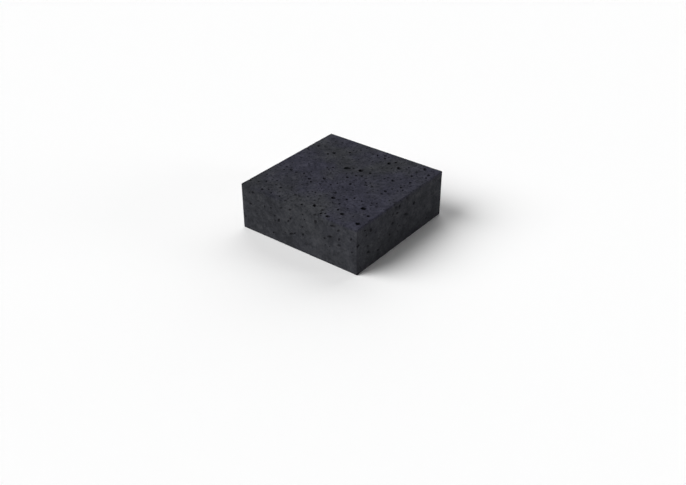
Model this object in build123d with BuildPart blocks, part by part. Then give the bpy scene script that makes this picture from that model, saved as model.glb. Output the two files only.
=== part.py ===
from build123d import *
from math import cos, radians, sin
import os

# A square paving tile of grey concrete, cast in one piece in a mould. It lies flat, its underside
# centred on the origin. Air bubbles that were caught against the mould left pits in every face.
# All lengths are in millimetres.

tile_length = 200.0  # along X
tile_width = 200.0  # along Y
tile_thickness = 70.0  # along Z
arris_radius = 1.0  # the softened edge that the mould leaves all round

# The bubbles that were caught well inside the face. Each left a pit with steep walls.
long_bubble_length = 10.8
long_bubble_width = 5.6
round_bubble_length = 7.8
round_bubble_width = 6.6
middle_bubble_length = 6.4
middle_bubble_width = 5.0
small_bubble_length = 4.6
small_bubble_width = 3.6
pit_sink_share = 0.16  # how far such a bubble's middle lies under the face, as a part of its width

# The bubbles that the mould's upright walls flattened. Each left a shallow dish.
long_dish_length = 10.0
long_dish_width = 4.6
wide_dish_length = 6.8
wide_dish_width = 5.6
middle_dish_length = 5.6
middle_dish_width = 4.2
small_dish_length = 4.6
small_dish_width = 3.6
dish_rise_share = 0.10  # how far such a bubble's middle lies out of the face, as a part of its width

# The shape that all bubbles share. Each is as deep as it is wide.
blunt_share = 0.42  # the part of a bubble's length that lies on its blunt side
ring_angles = (40, 0, -40, -70)  # the heights of its rings of corners, as angles from the middle
large_sides = 12  # flats round a large bubble
small_sides = 9  # flats round a small bubble

# Where bubbles broke the surface. Each pit has its place across and up its face, as parts of the
# face's two sides, and the turn of its long axis in degrees. A face is seen from outside.
top_pits = {
    "long": [(0.440, 0.625, -143)],
    "round": [(0.868, 0.242, 20), (0.955, 0.065, 10), (0.540, 0.655, -40)],
    "middle": [
        (0.410, 0.405, -30), (0.225, 0.755, -60), (0.635, 0.865, -55), (0.735, 0.845, -50),
        (0.890, 0.945, -50), (0.805, 0.670, -50), (0.625, 0.232, 20), (0.802, 0.102, 30),
        (0.745, 0.020, 0), (0.590, 0.078, -50),
    ],
    "small": [
        (0.870, 0.807, -50), (0.478, 0.652, 0), (0.615, 0.665, -60), (0.195, 0.715, -55),
        (0.310, 0.830, -15), (0.495, 0.920, -60), (0.545, 0.945, 0), (0.570, 0.908, -30),
        (0.955, 0.890, 40), (0.965, 0.845, -60), (0.915, 0.720, -50), (0.905, 0.625, -55),
        (0.525, 0.520, -60), (0.560, 0.575, -60), (0.593, 0.595, 0), (0.600, 0.455, -50),
        (0.710, 0.270, 75), (0.365, 0.315, -20), (0.330, 0.340, 0), (0.145, 0.365, 0),
        (0.595, 0.295, 60), (0.955, 0.185, -30), (0.255, 0.125, 15), (0.170, 0.030, -50),
        (0.015, 0.080, 80), (0.030, 0.690, 0), (0.060, 0.775, -45), (0.515, 0.035, -50),
        (0.848, 0.520, 10), (0.250, 0.380, -45), (0.740, 0.315, -40), (0.745, 0.130, 85),
    ],
}
front_pits = {
    "long_dish": [(0.450, 0.314, 20), (0.803, 0.864, 5), (0.780, 0.607, 5)],
    "middle_dish": [
        (0.443, 0.657, 50), (0.855, 0.500, 0), (0.335, 0.500, 80), (0.658, 0.957, 0),
        (0.660, 0.807, 60),
    ],
    "small_dish": [
        (0.108, 0.893, 0), (0.080, 0.614, 0), (0.363, 0.807, 20), (0.300, 0.570, 0),
        (0.422, 0.571, 60), (0.478, 0.360, 50), (0.550, 0.400, 80), (0.850, 0.815, 20),
        (0.855, 0.630, 60), (0.735, 0.530, 0), (0.952, 0.743, 80), (0.285, 0.170, 0),
    ],
}
side_pits = {
    "long_dish": [(0.555, 0.586, -20)],
    "wide_dish": [(0.648, 0.714, 30), (0.148, 0.793, -60)],
    "middle_dish": [(0.430, 0.907, -30), (0.010, 0.640, 0), (0.475, 0.870, 60)],
    "small_dish": [
        (0.200, 0.670, -20), (0.100, 0.740, 0), (0.400, 0.800, 0), (0.450, 0.757, 0),
        (0.395, 0.600, 0), (0.120, 0.486, -50), (0.125, 0.343, -20), (0.560, 0.940, 0),
        (0.365, 0.386, 0),
    ],
}
underside_pits = {
    "middle": [(0.250, 0.380, -45), (0.735, 0.845, -50), (0.625, 0.232, 20)],
    "small": [
        (0.195, 0.715, -55), (0.495, 0.920, -60), (0.870, 0.807, -50), (0.525, 0.520, -60),
        (0.145, 0.365, 0), (0.365, 0.315, -20), (0.955, 0.185, -30), (0.905, 0.625, -55),
    ],
}


def air_bubble(length, width, sides):
    """An egg that lies along X, blunt end first, its skin in rings of flats round its middle."""
    blunt_end = length * blunt_share
    long_end = length - blunt_end
    corners = []
    for ring_angle in ring_angles:
        girth = cos(radians(ring_angle))
        height = width / 2 * sin(radians(ring_angle))
        for side in range(sides):
            turn = radians(360 * side / sides)
            reach = long_end if cos(turn) > 0 else blunt_end
            corners.append((reach * girth * cos(turn), width / 2 * girth * sin(turn), height))
    with BuildPart() as bubble:
        ConvexPolyhedron(corners)
    return bubble.part


# Each kind's length, width and flats, and how far its middle lies under the face.
bubbles = {
    "long": (long_bubble_length, long_bubble_width, large_sides, pit_sink_share),
    "round": (round_bubble_length, round_bubble_width, large_sides, pit_sink_share),
    "middle": (middle_bubble_length, middle_bubble_width, small_sides, pit_sink_share),
    "small": (small_bubble_length, small_bubble_width, small_sides, pit_sink_share),
    "long_dish": (long_dish_length, long_dish_width, large_sides, -dish_rise_share),
    "wide_dish": (wide_dish_length, wide_dish_width, large_sides, -dish_rise_share),
    "middle_dish": (middle_dish_length, middle_dish_width, small_sides, -dish_rise_share),
    "small_dish": (small_dish_length, small_dish_width, small_sides, -dish_rise_share),
}

# Each face as a plane that looks outwards from the face's middle, with its two sides and its pits.
# The two hidden side faces repeat the pits of the faces opposite.
middle_height = tile_thickness / 2
top = Plane.XY.offset(tile_thickness)
front = Plane((0, -tile_width / 2, middle_height), x_dir=(1, 0, 0), z_dir=(0, -1, 0))
right = Plane((tile_length / 2, 0, middle_height), x_dir=(0, 1, 0), z_dir=(1, 0, 0))
back = Plane((0, tile_width / 2, middle_height), x_dir=(-1, 0, 0), z_dir=(0, 1, 0))
left = Plane((-tile_length / 2, 0, middle_height), x_dir=(0, -1, 0), z_dir=(-1, 0, 0))
underside = Plane((0, 0, 0), x_dir=(1, 0, 0), z_dir=(0, 0, -1))
faces = [
    (top, tile_length, tile_width, top_pits),
    (front, tile_length, tile_thickness, front_pits),
    (right, tile_width, tile_thickness, side_pits),
    (back, tile_length, tile_thickness, front_pits),
    (left, tile_width, tile_thickness, side_pits),
    (underside, tile_length, tile_width, underside_pits),
]


def pit_seats(kind):
    """Where the bubbles of one kind lie, over all the faces."""
    _, width, _, sink_share = bubbles[kind]
    depth = width * sink_share
    return [
        face.location * Location(((x - 0.5) * across, (y - 0.5) * up, -depth), (0, 0, turn))
        for face, across, up, pits in faces
        for x, y, turn in pits.get(kind, [])
    ]


with BuildPart() as paving_tile:
    Box(tile_length, tile_width, tile_thickness, align=(Align.CENTER, Align.CENTER, Align.MIN))
    fillet(paving_tile.edges(), radius=arris_radius)
    for kind, (length, width, sides, _) in bubbles.items():
        with Locations(*pit_seats(kind)):
            add(air_bubble(length, width, sides), mode=Mode.SUBTRACT)

paving_tile.part.label = "paving_tile"
os.makedirs("parts", exist_ok=True)
export_step(paving_tile.part, "parts/paving_tile.step")
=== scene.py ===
import math
import random

import bpy
from bpy.props import FloatProperty, FloatVectorProperty, IntProperty, PointerProperty
from mathutils import Matrix, Vector


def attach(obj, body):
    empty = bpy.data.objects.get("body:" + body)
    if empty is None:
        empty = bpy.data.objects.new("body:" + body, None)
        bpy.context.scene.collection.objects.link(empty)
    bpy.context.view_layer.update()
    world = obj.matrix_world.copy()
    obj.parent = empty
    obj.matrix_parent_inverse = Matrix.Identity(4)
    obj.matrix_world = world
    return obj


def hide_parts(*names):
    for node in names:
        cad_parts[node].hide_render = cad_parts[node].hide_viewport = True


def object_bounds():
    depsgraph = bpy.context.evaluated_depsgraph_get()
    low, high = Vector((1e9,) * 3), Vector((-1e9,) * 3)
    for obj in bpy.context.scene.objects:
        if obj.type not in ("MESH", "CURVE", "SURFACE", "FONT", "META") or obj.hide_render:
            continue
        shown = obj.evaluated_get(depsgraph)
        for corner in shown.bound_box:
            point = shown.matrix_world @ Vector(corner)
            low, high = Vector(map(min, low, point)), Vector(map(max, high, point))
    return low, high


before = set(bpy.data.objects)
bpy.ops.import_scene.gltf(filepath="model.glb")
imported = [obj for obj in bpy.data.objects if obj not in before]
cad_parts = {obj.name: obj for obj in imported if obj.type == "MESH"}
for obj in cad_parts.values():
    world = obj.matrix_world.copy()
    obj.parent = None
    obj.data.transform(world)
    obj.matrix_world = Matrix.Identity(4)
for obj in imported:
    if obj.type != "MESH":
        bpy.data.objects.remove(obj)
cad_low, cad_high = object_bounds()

bl_info = {
    "name": "Concrete Paving Tile",
    "version": (1, 0, 0),
    "blender": (4, 5, 0),
    "location": "View3D > Sidebar > Paving",
    "description": "Casts a square concrete paving tile with its air pits, and lights it on a pale floor",
    "category": "Add Mesh",
}

MM = 0.001

# The stage. The floor's radius is in metres, the photo's width in pixels and the sensor's in mm.
FLOOR_RADIUS = 9.0
FLOOR_SIDES = 96
PHOTO_WIDTH = 686
SENSOR_WIDTH = 36.0

# Each lamp, its turn from -Y and its height in degrees, how many degrees wide it looks, and whether
# it leaves highlights.
LAMPS = (
    ("left_lamp", -44, 41, 48, True),
    ("right_fill", 120, 10, 20, False),
    ("back_fill", 200, 25, 80, False),
)

# Edges that turn further than the first angle are the tile's own and are softened. Flats that meet at
# less than the second are shaded as one soft surface.
ARRIS_ANGLE = math.radians(60)
ARRIS_SEGMENTS = 3
SMOOTH_ANGLE = math.radians(32)

# The air pits of each face: the bubble's kind, then where each pit lies, as parts of the face's two
# sides seen from outside, and the turn of its long axis in degrees. The solid has its pits at the same
# places, apart from the faint ones, which it leaves out.
TOP_PITS = {
    "long": [(0.440, 0.625, -143)],
    "round": [(0.868, 0.242, 20), (0.955, 0.065, 10), (0.540, 0.655, -40)],
    "middle": [
        (0.410, 0.405, -30), (0.225, 0.755, -60), (0.635, 0.865, -55), (0.735, 0.845, -50),
        (0.890, 0.945, -50), (0.805, 0.670, -50), (0.625, 0.232, 20), (0.802, 0.102, 30),
        (0.745, 0.020, 0), (0.590, 0.078, -50),
    ],
    "small": [
        (0.870, 0.807, -50), (0.478, 0.652, 0), (0.615, 0.665, -60), (0.195, 0.715, -55),
        (0.310, 0.830, -15), (0.495, 0.920, -60), (0.545, 0.945, 0), (0.570, 0.908, -30),
        (0.955, 0.890, 40), (0.965, 0.845, -60), (0.915, 0.720, -50), (0.905, 0.625, -55),
        (0.525, 0.520, -60), (0.560, 0.575, -60), (0.593, 0.595, 0), (0.600, 0.455, -50),
        (0.710, 0.270, 75), (0.365, 0.315, -20), (0.330, 0.340, 0), (0.145, 0.365, 0),
        (0.595, 0.295, 60), (0.955, 0.185, -30), (0.255, 0.125, 15), (0.170, 0.030, -50),
        (0.015, 0.080, 80), (0.030, 0.690, 0), (0.060, 0.775, -45), (0.515, 0.035, -50),
        (0.848, 0.520, 10), (0.250, 0.380, -45), (0.740, 0.315, -40), (0.745, 0.130, 85),
    ],
    "faint": [
        (0.460, 0.915, 0), (0.570, 0.850, 20), (0.690, 0.815, 60), (0.955, 0.955, 10),
        (0.885, 0.500, 40), (0.870, 0.570, 0), (0.640, 0.580, 30), (0.675, 0.535, 80),
        (0.755, 0.570, 10), (0.740, 0.510, 50), (0.290, 0.350, 0), (0.435, 0.330, 20),
        (0.090, 0.380, 70), (0.805, 0.315, 0), (0.925, 0.310, 30), (0.285, 0.080, 0),
        (0.540, 0.200, 45), (0.440, 0.190, 0), (0.670, 0.060, 15), (0.400, 0.110, 0),
        (0.340, 0.250, 60), (0.170, 0.185, 0), (0.285, 0.955, 30), (0.170, 0.925, 0),
        (0.085, 0.965, 50), (0.240, 0.955, 0), (0.370, 0.960, 20), (0.320, 0.740, 0),
        (0.110, 0.600, 40), (0.190, 0.510, 0), (0.525, 0.410, 70), (0.480, 0.145, 0),
        (0.550, 0.130, 30), (0.785, 0.900, 0),
    ],
}
FRONT_PITS = {
    "long_dish": [(0.450, 0.314, 20), (0.803, 0.864, 5), (0.780, 0.607, 5)],
    "middle_dish": [
        (0.443, 0.657, 50), (0.855, 0.500, 0), (0.335, 0.500, 80), (0.658, 0.957, 0),
        (0.660, 0.807, 60),
    ],
    "small_dish": [
        (0.108, 0.893, 0), (0.080, 0.614, 0), (0.363, 0.807, 20), (0.300, 0.570, 0),
        (0.422, 0.571, 60), (0.478, 0.360, 50), (0.550, 0.400, 80), (0.850, 0.815, 20),
        (0.855, 0.630, 60), (0.735, 0.530, 0), (0.952, 0.743, 80), (0.285, 0.170, 0),
    ],
    "faint": [
        (0.270, 0.714, 0), (0.440, 0.843, 20), (0.545, 0.571, 50), (0.550, 0.857, 0),
        (0.210, 0.686, 70), (0.025, 0.271, 0), (0.960, 0.471, 30),
    ],
}
SIDE_PITS = {
    "long_dish": [(0.555, 0.586, -20)],
    "wide_dish": [(0.648, 0.714, 30), (0.148, 0.793, -60)],
    "middle_dish": [(0.430, 0.907, -30), (0.010, 0.640, 0), (0.475, 0.870, 60)],
    "small_dish": [
        (0.200, 0.670, -20), (0.100, 0.740, 0), (0.400, 0.800, 0), (0.450, 0.757, 0),
        (0.395, 0.600, 0), (0.120, 0.486, -50), (0.125, 0.343, -20), (0.560, 0.940, 0),
        (0.365, 0.386, 0),
    ],
    "faint": [(0.085, 0.871, 0), (0.475, 0.429, 30), (0.230, 0.229, 0)],
}
UNDERSIDE_PITS = {
    "middle": [(0.250, 0.380, -45), (0.735, 0.845, -50), (0.625, 0.232, 20)],
    "small": [
        (0.195, 0.715, -55), (0.495, 0.920, -60), (0.870, 0.807, -50), (0.525, 0.520, -60),
        (0.145, 0.365, 0), (0.365, 0.315, -20), (0.955, 0.185, -30), (0.905, 0.625, -55),
    ],
}

# Each kind of bubble: its length, width and depth, how far its middle lies below the face as a part of
# its width, its form's rings and flats, and how many lesser bubbles ran into it. A dish is left by a
# bubble that lay mostly outside the face. The dishes, the long pit and the small pits are a little
# larger here than in the solid, and the dishes are shallower, as the photo shows them.
BUBBLES = {
    "long": (11.2 * MM, 6.0 * MM, 6.0 * MM, 0.16, 14, 24, 3),
    "round": (7.8 * MM, 6.6 * MM, 6.6 * MM, 0.16, 14, 24, 2),
    "middle": (6.4 * MM, 5.0 * MM, 5.0 * MM, 0.16, 12, 20, 2),
    "small": (4.9 * MM, 3.8 * MM, 3.7 * MM, 0.16, 10, 16, 1),
    "long_dish": (10.6 * MM, 5.3 * MM, 4.4 * MM, -0.10, 14, 24, 3),
    "wide_dish": (7.0 * MM, 5.8 * MM, 4.5 * MM, -0.10, 14, 24, 2),
    "middle_dish": (6.0 * MM, 4.7 * MM, 4.0 * MM, -0.10, 12, 20, 2),
    "small_dish": (5.0 * MM, 4.0 * MM, 3.5 * MM, -0.10, 10, 16, 1),
    "faint": (4.5 * MM, 3.5 * MM, 3.5 * MM, -0.12, 8, 12, 1),
}

# The lumpy balls that bubbles and chips are copied from: how many variants there are of each, and how
# many metres apart they are made, so that the cloudy texture gives each one other lumps.
VARIANTS = 4
VARIANT_STEP = 7.0

# The height and the breadth of a ball's lumps, as parts of its width. Before these, the smaller balls
# have their rings and flats, and after them the number of their first variant.
PIT_LUMPS = (0.26, 0.38)
PINHOLE_FORM = (5, 8, 0.12, 0.50, 11)
WIDE_PINHOLE_FORM = (6, 10, 0.24, 0.50, 31)
CHIP_FORM = (6, 9, 0.50, 0.40, 21)

# A pit: the least and the most that chance makes of its size, and how far pinholes keep off its
# middle, as a part of its length.
PIT_SPREAD = (0.90, 1.15)
PIT_REACH = 0.75

# A lobe, where a lesser bubble broke into a pit's rim: its least and greatest size, how far off the
# pit's middle it lies and how much of that is out of the face, as parts of the pit's size. Then how
# much broader it is than the pit's form, and how far it keeps off other lobes, as a part of its length.
LOBE_ROUNDS = 3
LOBE_SHARE = (0.35, 0.62)
LOBE_OFFSET = 0.36
LOBE_RISE = 0.20
LOBE_BREADTH = 1.1
LOBE_REACH = 0.6

# A pinhole or a chip: its length and how deep a pinhole's middle sinks, as parts of its width, and how
# far it keeps off others, as a part of its length. The higher the bias, the more of them are small.
PINHOLE_STRETCH = (1.0, 1.7)
PINHOLE_SINK = (-0.15, 0.20)
PINHOLE_REACH = 0.62
TOP_PINHOLE_BIAS = 1.8
SIDE_PINHOLE_BIAS = 3
CHIP_STRETCH = (1.0, 2.2)
CHIP_REACH = 0.6
CHIP_BIAS = 2

# How far the grit shakes the cells of the sand grains, as a part of their spacing.
GRAIN_SHAKE = 0.7


def linear(hex_colour, alpha=1.0):
    """An sRGB hex colour as the linear values that a shader wants."""
    channels = [int(hex_colour[i:i + 2], 16) / 255 for i in (1, 3, 5)]
    return [c / 12.92 if c <= 0.04045 else ((c + 0.055) / 1.055) ** 2.4 for c in channels] + [alpha]


def size(name, default, description):
    """A length that a user can change."""
    return FloatProperty(name=name, default=default, description=description, unit="LENGTH", precision=5)


def angle(name, degrees, description):
    """An angle that a user can change."""
    return FloatProperty(name=name, default=math.radians(degrees), description=description, subtype="ANGLE")


def fraction(name, default, description):
    """A part of a whole, from 0 to 1, that a user can change."""
    return FloatProperty(
        name=name, default=default, description=description, subtype="FACTOR", min=0, max=1
    )


def number(name, default, description, **limits):
    """A number without a unit that a user can change."""
    return FloatProperty(name=name, default=default, description=description, **limits)


def count(name, default, description):
    """A number of like things that a user can change."""
    return IntProperty(name=name, default=default, description=description, min=0)


def colour(name, default, description):
    """A colour that a user can change."""
    return FloatVectorProperty(
        name=name, default=linear(default), description=description, subtype="COLOR", size=4, min=0, max=1
    )


class PavingTileShape(bpy.types.PropertyGroup):
    """The relief that casting leaves on the tile. Its outer size comes from the frame."""

    arris: size("Arris", 1.0 * MM, "Softening of the tile's edges by the mould")
    skin_step: size("Skin step", 4.0 * MM, "Spacing of the grid that carries the skin's unevenness")
    wave_length: size("Wave length", 40.0 * MM, "Breadth of the skin's slow waves")
    wave_depth: size("Wave depth", 0.25 * MM, "How far the slow waves dip below the face")
    ripple_length: size("Ripple length", 9.0 * MM, "Breadth of the skin's small unevenness")
    ripple_depth: size("Ripple depth", 0.15 * MM, "How far the small unevenness dips below the face")
    pinholes: count("Pinholes", 1500, "Number of air pinholes over all faces")
    pinhole_smallest: size("Smallest pinhole", 0.8 * MM, "Width of the smallest air pinholes")
    pinhole_largest: size("Largest pinhole", 3.4 * MM, "Width of the largest air pinholes")
    pinhole_fine: size("Fine pinhole", 1.7 * MM, "Width from which a pinhole has a finely shaped form")
    side_share: fraction("Side share", 0.6, "How large pinholes grow on the other faces, against the top")
    top_share: number("Top share", 1.8, "How much denser pinholes lie on top", min=0)
    chips: count("Chips", 170, "Number of small chips along the edges")
    chip_smallest: size("Smallest chip", 0.9 * MM, "Width of the smallest chips along the edges")
    chip_largest: size("Largest chip", 2.5 * MM, "Width of the largest chips along the edges")
    seed: IntProperty(name="Seed", default=11, description="Seed of everything that chance placed")


class ConcreteFinish(bpy.types.PropertyGroup):
    """The colours and surface of the concrete."""

    paste: colour("Cement paste", "#333438", "Neutral grey of the pigmented cement skin")
    bloom: colour("Blue bloom", "#32323d", "Bluish cast where the pigment gathered")
    dark: colour("Dark paste", "#212225", "Denser, darker paste between the lighter areas")
    light: colour("Light paste", "#444548", "Paler, drier paste")
    sand: colour("Sand", "#5f5e5d", "Pale sand grains that show through the skin")
    # The pit colour is painted shade: it colours the pits darker the deeper they lie below the face.
    pit: colour("Pit shade", "#101012", "Painted shade inside the air pits, darkest where deepest")
    bloom_depth: size("Bloom depth", 6.0 * MM, "How far below the top the bloom fades out")
    blotch_length: size("Blotch length", 60.0 * MM, "Breadth of the bluish blotches")
    blotch_seed: number("Blotch seed", 502.6, "Which blotches chance gave")
    tone_length: size("Tone length", 75.0 * MM, "Breadth of the lighter and darker areas")
    tone_seed: number("Tone seed", 612.5, "Which broad areas chance gave")
    tone_share: fraction("Tone share", 0.22, "How far the broad areas differ")
    cloud_length: size("Cloud length", 11.0 * MM, "Breadth of the lighter and darker clouds")
    speck_length: size("Speck length", 3.2 * MM, "Breadth of the dark specks")
    grain_length: size("Grain length", 1.5 * MM, "Spacing of the sand grains")

    # Real grit is 0.1 to 0.3 mm across. That is too fine to show in the render, so it is drawn coarser.
    grit_length: size("Grit length", 0.55 * MM, "Size of the grit that roughens the skin")
    grit_height: size("Grit height", 0.26 * MM, "Height of the grit that roughens the skin")
    roughness: fraction("Roughness", 0.9, "Roughness of the dry skin")


class StudioSetup(bpy.types.PropertyGroup):
    """The camera, the lamps and the floor."""

    azimuth: angle("Camera azimuth", 37.69, "Camera's turn from -Y")
    elevation: angle("Camera elevation", 32.53, "Camera's height angle")
    distance: size("Camera distance", 1284.0 * MM, "From the camera to the plane through the tile's middle")
    drop: size("Aim drop", 61.5 * MM, "How far the camera aims below the tile's middle, across its view")
    focal_pixels: number("Focal length", 909.1, "In pixels of a picture as wide as the photo", min=1)
    left_lamp: number("Left lamp", 3.341, "Strength of the main lamp", min=0)
    right_fill: number("Right fill", 0.589, "Strength of the right fill", min=0)
    back_fill: number("Back fill", 1.897, "Strength of the back fill", min=0)
    sky: number("Sky", 0.01, "Strength of the light from all round", min=0)
    floor: colour("Floor", "#fdfdfd", "Pale studio floor")


def deselect_all():
    """Nothing stays selected, so that an operator acts on what is chosen next."""
    bpy.ops.object.select_all(action="DESELECT")


def choose(*pieces):
    """Selects these pieces alone, and makes the first one active."""
    deselect_all()
    for piece in pieces:
        piece.select_set(True)
    bpy.context.view_layer.objects.active = pieces[0]


def modify(piece, kind, **settings):
    """Adds a modifier to a piece and applies it."""
    choose(piece)
    modifier = piece.modifiers.new(kind.lower(), kind)
    for name, value in settings.items():
        setattr(modifier, name, value)
    bpy.ops.object.modifier_apply(modifier=modifier.name)


def noise_texture(name, length):
    """A cloudy texture for Displace, whose lumps are about as broad as the length."""
    texture = bpy.data.textures.new(name, "CLOUDS")
    texture.noise_scale = length
    texture.noise_depth = 1
    return texture


def cast_block(shape):
    """The tile's block, with a fine grid over its faces, slow waves in its skin and soft edges."""
    deselect_all()
    centre = (cad_low + cad_high) / 2
    bpy.ops.mesh.primitive_cube_add(size=1, location=centre)
    block = bpy.context.object
    block.name = "cast_paving_tile"
    block.scale = cad_high - cad_low
    bpy.ops.object.transform_apply(location=True, rotation=True, scale=True)
    bpy.ops.object.mode_set(mode="EDIT")
    for axis in range(3):
        normal = Vector((axis == 0, axis == 1, axis == 2))
        span = cad_high[axis] - cad_low[axis]
        steps = round(span / shape.skin_step)
        for step in range(1, steps):
            place = centre + normal * (step / steps - 0.5) * span
            bpy.ops.mesh.select_all(action="SELECT")
            bpy.ops.mesh.bisect(plane_co=place, plane_no=normal)
    bpy.ops.object.mode_set(mode="OBJECT")
    waves = noise_texture("slow waves", shape.wave_length)
    modify(block, "DISPLACE", texture=waves, strength=shape.wave_depth, mid_level=1)
    ripples = noise_texture("small ripples", shape.ripple_length)
    modify(block, "DISPLACE", texture=ripples, strength=shape.ripple_depth, mid_level=1)
    modify(
        block, "BEVEL", width=shape.arris, segments=ARRIS_SEGMENTS,
        limit_method="ANGLE", angle_limit=ARRIS_ANGLE,
    )
    return block


def bubble_forms(name, rings, flats, lump_height, lump_breadth, first_variant=1):
    """Lumpy balls, 1 m across, from which all bubbles of a kind are copied."""
    forms = []
    for variant in range(first_variant, first_variant + VARIANTS):
        place = Vector((VARIANT_STEP * variant, 0, 0))
        deselect_all()
        bpy.ops.mesh.primitive_uv_sphere_add(segments=flats, ring_count=rings, radius=0.5, location=place)
        form = bpy.context.object
        form.name = name
        bpy.ops.object.transform_apply(location=True, rotation=True, scale=True)
        lumps = noise_texture(name, lump_breadth)
        modify(form, "DISPLACE", texture=lumps, strength=lump_height, mid_level=0.5)
        form.data.transform(Matrix.Translation(-place))
        forms.append(form)
    return forms


def discard(forms):
    """Removes forms once all their copies are made."""
    for form in forms:
        bpy.data.objects.remove(form)


def face_frames():
    """Each face, the top first: its middle, the ways across and up it, their lengths, and its pits."""
    span = cad_high - cad_low
    centre = (cad_low + cad_high) / 2
    length, width, height = span
    x, y, z = Vector((1, 0, 0)), Vector((0, 1, 0)), Vector((0, 0, 1))
    return [
        (centre + across.cross(up) * span / 2, across, up, across_span, up_span, pits)
        for across, up, across_span, up_span, pits in (
            (x, y, length, width, TOP_PITS),
            (x, z, length, height, FRONT_PITS),
            (y, z, width, height, SIDE_PITS),
            (-x, z, length, height, FRONT_PITS),
            (-y, z, width, height, SIDE_PITS),
            (x, -y, length, width, UNDERSIDE_PITS),
        )
    ]


def place_copy(form, matrix):
    """A copy of a form, with its own mesh, that lies where the matrix says."""
    copy = bpy.data.objects.new(form.name, form.data.copy())
    copy.data.transform(matrix)
    bpy.context.scene.collection.objects.link(copy)
    return copy


def seat(face, x, y, depth, turn):
    """The matrix that puts a form on a face, turned about the face's normal and sunk to its depth."""
    middle, across, up, across_span, up_span, _ = face
    normal = across.cross(up)
    place = middle + across * (x - 0.5) * across_span + up * (y - 0.5) * up_span - normal * depth
    turned = Matrix((across, up, normal)).transposed().to_4x4()
    return Matrix.Translation(place) @ turned @ Matrix.Rotation(turn, 4, "Z")


def is_clear(place, reach, taken):
    """Whether a bubble of this reach keeps clear of all those in a list of places and reaches."""
    return all((place - other).length > reach + other_reach for other, other_reach in taken)


def joined(copies, name):
    """Joins copies into one piece."""
    choose(*copies)
    bpy.ops.object.join()
    piece = bpy.context.object
    piece.name = name
    return piece


def cut(block, cutter):
    """Takes a closed cutter out of the block."""
    modify(block, "BOOLEAN", operation="DIFFERENCE", solver="MANIFOLD", object=cutter)
    bpy.data.objects.remove(cutter)


def cut_pits(block, chance):
    """Opens the pits that the photo shows, with lobes that break their rims, and returns where they are."""
    forms = {}
    for kind, (_, _, _, _, rings, flats, _) in BUBBLES.items():
        forms[kind] = bubble_forms(f"{kind} bubble", rings, flats, *PIT_LUMPS)
    pits = []
    copies = []
    taken = []
    for face in face_frames():
        for kind, places in face[-1].items():
            length, width, depth, sink, _, _, lobes = BUBBLES[kind]
            for x, y, turn in places:
                vary = chance.uniform(*PIT_SPREAD)
                sizes = (length * vary, width * vary, depth * vary)
                matrix = seat(face, x, y, width * sink, math.radians(turn))
                copies.append(place_copy(chance.choice(forms[kind]), matrix @ Matrix.Diagonal((*sizes, 1))))
                taken.append((matrix.translation.copy(), length * PIT_REACH))
                pits.append((kind, matrix, sizes, lobes))
    cut(block, joined(copies, "bubbles"))
    for lobe_round in range(LOBE_ROUNDS):
        cut_lobes(block, chance, forms, [pit for pit in pits if pit[-1] > lobe_round])
    for kind_forms in forms.values():
        discard(kind_forms)
    return taken


def cut_lobes(block, chance, forms, pits):
    """Lets one lesser bubble break into the rim of each of these pits."""
    copies = []
    used = []
    for kind, matrix, (length, width, depth), _ in pits:
        around = chance.uniform(0, 2 * math.pi)
        share = chance.uniform(*LOBE_SHARE)
        way = Vector((length * math.cos(around), width * math.sin(around), depth * LOBE_RISE))
        turned = Matrix.Rotation(chance.uniform(0, math.pi), 4, "Z")
        scale = Matrix.Diagonal((length * share, width * share * LOBE_BREADTH, depth * share, 1))
        place = matrix @ Matrix.Translation(way * LOBE_OFFSET) @ turned @ scale
        reach = length * share * LOBE_REACH
        if is_clear(place.translation, reach, used):
            used.append((place.translation.copy(), reach))
            copies.append(place_copy(chance.choice(forms[kind]), place))
    cut(block, joined(copies, "lobes"))


def cut_pinholes(block, shape, chance, taken):
    """Opens small pinholes over all faces, clear of the pits and of each other. The top has the most."""
    coarse = bubble_forms("pinhole", *PINHOLE_FORM)
    fine = bubble_forms("wide pinhole", *WIDE_PINHOLE_FORM)
    faces = face_frames()
    weights = [across_span * up_span for _, _, _, across_span, up_span, _ in faces]
    weights[0] *= shape.top_share
    copies = []
    while len(copies) < shape.pinholes:
        face = chance.choices(faces, weights)[0]
        x, y = chance.random(), chance.random()
        if face is faces[0]:
            share = chance.random() ** TOP_PINHOLE_BIAS
        else:
            share = chance.random() ** SIDE_PINHOLE_BIAS * shape.side_share
        width = shape.pinhole_smallest + (shape.pinhole_largest - shape.pinhole_smallest) * share
        length = width * chance.uniform(*PINHOLE_STRETCH)
        matrix = seat(face, x, y, width * chance.uniform(*PINHOLE_SINK), chance.uniform(0, 2 * math.pi))
        place = matrix.translation.copy()
        reach = length * PINHOLE_REACH
        if is_clear(place, reach, taken):
            taken.append((place, reach))
            scale = Matrix.Diagonal((length, width, width, 1))
            forms = fine if width > shape.pinhole_fine else coarse
            copies.append(place_copy(chance.choice(forms), matrix @ scale))
    cut(block, joined(copies, "pinholes"))
    discard(coarse + fine)


def cut_chips(block, shape, chance):
    """Breaks small chips out of the edges."""
    forms = bubble_forms("chip", *CHIP_FORM)
    low, high = cad_low, cad_high
    spans = high - low
    copies = []
    taken = []
    while len(copies) < shape.chips:
        along = chance.choices((0, 1, 2), (spans.x, spans.y, spans.z))[0]
        place = Vector(low[i] if chance.random() < 0.5 else high[i] for i in range(3))
        place[along] = low[along] + chance.random() * spans[along]
        share = chance.random() ** CHIP_BIAS
        width = shape.chip_smallest + (shape.chip_largest - shape.chip_smallest) * share
        sizes = Vector((width, width, width))
        sizes[along] *= chance.uniform(*CHIP_STRETCH)
        reach = sizes[along] * CHIP_REACH
        if is_clear(place, reach, taken):
            taken.append((place.copy(), reach))
            matrix = Matrix.Translation(place) @ Matrix.Diagonal((*sizes, 1))
            copies.append(place_copy(chance.choice(forms), matrix))
    cut(block, joined(copies, "chips"))
    discard(forms)


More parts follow.
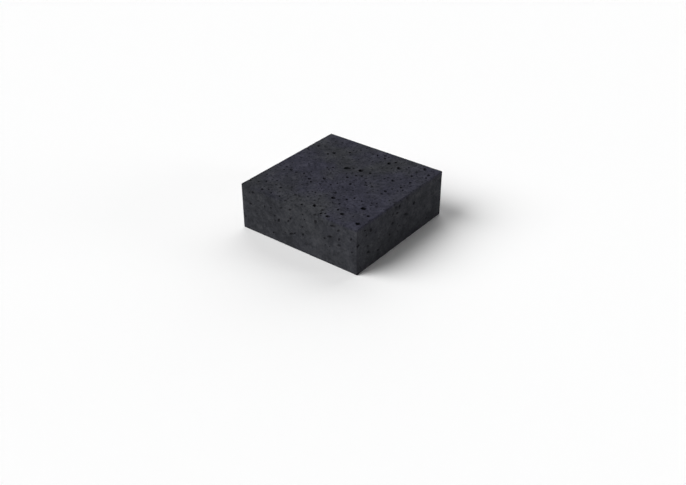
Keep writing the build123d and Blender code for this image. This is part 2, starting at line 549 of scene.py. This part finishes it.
def mark_depth(tile):
    """Notes for each point how far it lies below the nearest face, for the painted shade on the pit walls.
    """
    low, high = cad_low, cad_high
    depths = []
    for vertex in tile.data.vertices:
        co = vertex.co
        depths.append(max(0.0, min(min(co[i] - low[i], high[i] - co[i]) for i in range(3))))
    attribute = tile.data.attributes.new("pit_depth", "FLOAT", "POINT")
    attribute.data.foreach_set("value", depths)


def empty_tree(holder):
    """The node tree of a new material or world, with nothing in it yet."""
    holder.use_nodes = True
    holder.node_tree.nodes.clear()
    return holder.node_tree


def add_node(tree, kind, inputs=(), **settings):
    """Adds a node with its settings. An input is a value or the socket that feeds it, by name or place."""
    node = tree.nodes.new(kind)
    for name, value in settings.items():
        setattr(node, name, value)
    for name, value in dict(inputs).items():
        if isinstance(value, bpy.types.NodeSocket):
            tree.links.new(value, node.inputs[name])
        else:
            node.inputs[name].default_value = value
    return node


def cast_concrete(finish):
    """Dark pigmented concrete, cast against a smooth mould.

    A thin cement skin shows grey paste with a bluish bloom in broad blotches, darker specks where the
    paste is dense, and a few sand grains as small pale points. It is dry and matt, with a fine grit.
    Inside the air pits the colour darkens with depth below the face: painted shade.
    """
    material = bpy.data.materials.new("cast_concrete")
    tree = empty_tree(material)
    where = add_node(tree, "ShaderNodeTexCoord").outputs["Object"]
    height = add_node(tree, "ShaderNodeSeparateXYZ", {"Vector": where}).outputs["Z"]

    # Cloudy patterns: how broad their lumps are, how finely and strongly those are divided, and a seed.
    patterns = {}
    for name, length, detail, roughness, seed in (
        ("blotches", finish.blotch_length, 3, 0.50, finish.blotch_seed),
        ("tones", finish.tone_length, 2, 0.50, finish.tone_seed),
        ("clouds", finish.cloud_length, 5, 0.65, 3.7),
        ("specks", finish.speck_length, 4, 0.62, 5.3719),
        ("grit", finish.grit_length, 3, 0.60, 1.2345),
    ):
        patterns[name] = add_node(
            tree, "ShaderNodeTexNoise",
            {"Vector": where, "W": seed, "Scale": 1 / length, "Detail": detail, "Roughness": roughness},
            noise_dimensions="4D",
        )

    # Sand grains in uneven cells. Only the cells that chance coloured red enough hold a pale grain.
    shaken = add_node(
        tree, "ShaderNodeVectorMath",
        {0: patterns["grit"].outputs["Color"], 1: [finish.grain_length * GRAIN_SHAKE] * 3, 2: where},
        operation="MULTIPLY_ADD",
    ).outputs[0]
    grains = add_node(tree, "ShaderNodeTexVoronoi", {"Vector": shaken, "Scale": 1 / finish.grain_length})
    chosen = add_node(tree, "ShaderNodeSeparateColor", {"Color": grains.outputs["Color"]}).outputs["Red"]

    # Soft ramps: what each follows, where it begins and where it is full, and its least and its most.
    # The bloom and the dark specks are fullest on the top face, and weaker below it.
    top = cad_high.z
    near_top = top - finish.bloom_depth
    bloomed, speckled, sandy = (
        add_node(
            tree, "ShaderNodeMapRange",
            {"Value": value, "From Min": begin, "From Max": full, "To Min": least, "To Max": most},
            interpolation_type="SMOOTHSTEP",
        ).outputs["Result"]
        for value, begin, full, least, most in (
            (height, near_top, top, 0.15, 1.0),
            (height, near_top, top, 0.48, 1.0),
            (chosen, 0.70, 1.00, 0.0, 0.40),
        )
    )

    # Layers over the paste: the pattern, where it begins to show and where it is full, its most, and
    # the colour. The bloom turns the paste and all that lies in it by the same tint.
    tint = [bloom / paste for bloom, paste in zip(finish.bloom, finish.paste)]
    depth = add_node(tree, "ShaderNodeAttribute", attribute_name="pit_depth").outputs["Fac"]
    blotches, tones, clouds, specks = (
        patterns[name].outputs["Fac"] for name in ("blotches", "tones", "clouds", "specks")
    )
    body = list(finish.paste)
    for pattern, begin, full, most, layer, blend in (
        (tones, 0.50, 0.34, finish.tone_share, finish.dark, "MIX"),
        (tones, 0.50, 0.66, finish.tone_share, finish.light, "MIX"),
        (clouds, 0.52, 0.36, 0.55, finish.dark, "MIX"),
        (clouds, 0.50, 0.66, 0.55, finish.light, "MIX"),
        (specks, 0.49, 0.36, speckled, finish.dark, "MIX"),
        (specks, 0.54, 0.68, 0.35, finish.light, "MIX"),
        (blotches, 0.37, 0.64, bloomed, tint, "MULTIPLY"),
        (grains.outputs["Distance"], 0.45, 0.10, sandy, finish.sand, "MIX"),
        # The pit layer is painted shade: it darkens the colour from 0.1 mm below the face, fully by 3 mm.
        (depth, 0.1 * MM, 3.0 * MM, 1.0, finish.pit, "MIX"),
    ):
        share = add_node(
            tree, "ShaderNodeMapRange",
            {"Value": pattern, "From Min": begin, "From Max": full, "To Max": most},
            interpolation_type="SMOOTHSTEP",
        ).outputs["Result"]
        body = add_node(
            tree, "ShaderNodeMix", {0: share, 6: body, 7: list(layer)}, data_type="RGBA", blend_type=blend
        ).outputs[2]

    # The fine grit stands on the coarser lumps of the specks' pattern, and both show as bumps.
    lumps = add_node(
        tree, "ShaderNodeMath",
        {0: specks, 1: 2.0, 2: patterns["grit"].outputs["Fac"]},
        operation="MULTIPLY_ADD",
    ).outputs[0]
    rough_grit = add_node(
        tree, "ShaderNodeBump", {"Strength": 1.0, "Distance": finish.grit_height, "Height": lumps}
    ).outputs["Normal"]
    shader = add_node(
        tree, "ShaderNodeBsdfPrincipled",
        {"Base Color": body, "Roughness": finish.roughness, "IOR": 1.5, "Specular IOR Level": 0.06,
         "Metallic": 0.0, "Normal": rough_grit},
    )
    add_node(tree, "ShaderNodeOutputMaterial", {"Surface": shader.outputs["BSDF"]})
    return material


class PAVING_OT_cast_tile(bpy.types.Operator):
    """Casts the paving tile, with its air pits, pinholes and chipped edges, and gives it its finish"""

    bl_idname = "paving.cast_tile"
    bl_label = "Cast Paving Tile"

    def execute(self, context):
        shape = context.scene.paving_tile_shape
        chance = random.Random(shape.seed)
        tile = cast_block(shape)
        taken = cut_pits(tile, chance)
        cut_pinholes(tile, shape, chance, taken)
        cut_chips(tile, shape, chance)
        choose(tile)
        bpy.ops.object.shade_smooth_by_angle(angle=SMOOTH_ANGLE)
        mark_depth(tile)
        tile.data.materials.clear()
        tile.data.materials.append(cast_concrete(context.scene.paving_tile_finish))
        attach(tile, "root")
        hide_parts("paving_tile")
        return {"FINISHED"}


def direction(azimuth, elevation):
    """The way to a lamp or a camera. Azimuth 0 is towards -Y, and it turns towards +X."""
    level = math.cos(elevation)
    return Vector((math.sin(azimuth) * level, -math.cos(azimuth) * level, math.sin(elevation)))


def facing_from(back):
    """The turn of a lamp or a camera that looks away from its back, with its top upwards."""
    return back.to_track_quat("Z", "Y").to_matrix().to_4x4()


def matt_white_paint(studio):
    """Matt white paint on the floor. It takes soft shadows and mirrors nothing."""
    material = bpy.data.materials.new("matt_white_paint")
    tree = empty_tree(material)
    paint = add_node(tree, "ShaderNodeBsdfDiffuse", {"Color": list(studio.floor), "Roughness": 0.0})
    add_node(tree, "ShaderNodeOutputMaterial", {"Surface": paint.outputs["BSDF"]})
    return material


def lay_floor(studio):
    """A pale floor that reaches past the picture on every side."""
    deselect_all()
    bpy.ops.mesh.primitive_circle_add(
        vertices=FLOOR_SIDES, radius=FLOOR_RADIUS, fill_type="NGON", location=(0, 0, 0)
    )
    floor = bpy.context.object
    floor.name = "studio_floor"
    floor.data.materials.append(matt_white_paint(studio))


def hang_lamp(name, strength, azimuth, elevation, spread, shines):
    """A far soft lamp that looks as wide as its spread. One that doesn't shine leaves no highlight."""
    lamp = bpy.data.lights.new(name, "SUN")
    lamp.energy = strength
    lamp.angle = math.radians(spread)
    holder = bpy.data.objects.new(name, lamp)
    holder.visible_glossy = shines
    towards = direction(math.radians(azimuth), math.radians(elevation))
    holder.matrix_world = Matrix.Translation(towards) @ facing_from(towards)
    bpy.context.scene.collection.objects.link(holder)


def light_studio(studio):
    """A soft lamp from the left, a low fill from the right, a broad one from behind, and a white sky."""
    for name, azimuth, elevation, spread, shines in LAMPS:
        hang_lamp(name, getattr(studio, name), azimuth, elevation, spread, shines)
    world = bpy.data.worlds.new("pale_sky")
    bpy.context.scene.world = world
    tree = empty_tree(world)

    # The sky is white where it is seen or mirrored. Otherwise it lights only as strongly as is set.
    rays = add_node(tree, "ShaderNodeLightPath").outputs
    seen = rays["Is Camera Ray"]
    for kind in ("Is Glossy Ray", "Is Transmission Ray"):
        seen = add_node(tree, "ShaderNodeMath", {0: seen, 1: rays[kind]}, operation="MAXIMUM").outputs[0]
    strength = add_node(
        tree, "ShaderNodeMapRange", {"Value": seen, "To Min": studio.sky, "To Max": 1.0}
    ).outputs["Result"]
    sky = add_node(tree, "ShaderNodeBackground", {"Color": linear("#ffffff"), "Strength": strength})
    add_node(tree, "ShaderNodeOutputWorld", {"Surface": sky.outputs["Background"]})


def set_camera(studio):
    """The camera at the photo's viewing angle, worked out from the tile's corners."""
    camera = bpy.data.cameras.new("photo_camera")
    camera.sensor_fit = "HORIZONTAL"
    camera.sensor_width = SENSOR_WIDTH
    camera.lens = studio.focal_pixels / PHOTO_WIDTH * SENSOR_WIDTH
    holder = bpy.data.objects.new("photo_camera", camera)
    back = direction(studio.azimuth, studio.elevation)
    turned = facing_from(back)
    up = turned.to_3x3() @ Vector((0, 1, 0))
    place = (cad_low + cad_high) / 2 + back * studio.distance - up * studio.drop
    holder.matrix_world = Matrix.Translation(place) @ turned
    bpy.context.scene.collection.objects.link(holder)
    bpy.context.scene.camera = holder


class PAVING_OT_set_stage(bpy.types.Operator):
    """Lays the pale floor, and sets the lamps, the sky and the camera"""

    bl_idname = "paving.set_stage"
    bl_label = "Set Stage"

    def execute(self, context):
        studio = context.scene.paving_tile_studio
        lay_floor(studio)
        light_studio(studio)
        set_camera(studio)
        context.scene.view_settings.view_transform = "Standard"
        return {"FINISHED"}


class VIEW3D_PT_paving_tile(bpy.types.Panel):
    """Sizes, colours and steps of the paving tile"""

    bl_label = "Paving Tile"
    bl_space_type = "VIEW_3D"
    bl_region_type = "UI"
    bl_category = "Paving"

    def draw(self, context):
        scene = context.scene
        for heading, group, operator in (
            ("Shape", scene.paving_tile_shape, None),
            ("Finish", scene.paving_tile_finish, "paving.cast_tile"),
            ("Studio", scene.paving_tile_studio, "paving.set_stage"),
        ):
            box = self.layout.box()
            box.label(text=heading)
            for name in group.__annotations__:
                box.prop(group, name)
            if operator:
                box.operator(operator)


CLASSES = (
    PavingTileShape,
    ConcreteFinish,
    StudioSetup,
    PAVING_OT_cast_tile,
    PAVING_OT_set_stage,
    VIEW3D_PT_paving_tile,
)


def register():
    for cls in CLASSES:
        bpy.utils.register_class(cls)
    bpy.types.Scene.paving_tile_shape = PointerProperty(type=PavingTileShape)
    bpy.types.Scene.paving_tile_finish = PointerProperty(type=ConcreteFinish)
    bpy.types.Scene.paving_tile_studio = PointerProperty(type=StudioSetup)


def unregister():
    del bpy.types.Scene.paving_tile_shape
    del bpy.types.Scene.paving_tile_finish
    del bpy.types.Scene.paving_tile_studio
    for cls in reversed(CLASSES):
        bpy.utils.unregister_class(cls)


def main():
    register()
    bpy.ops.paving.cast_tile()
    bpy.ops.paving.set_stage()


if __name__ == "__main__":
    main()
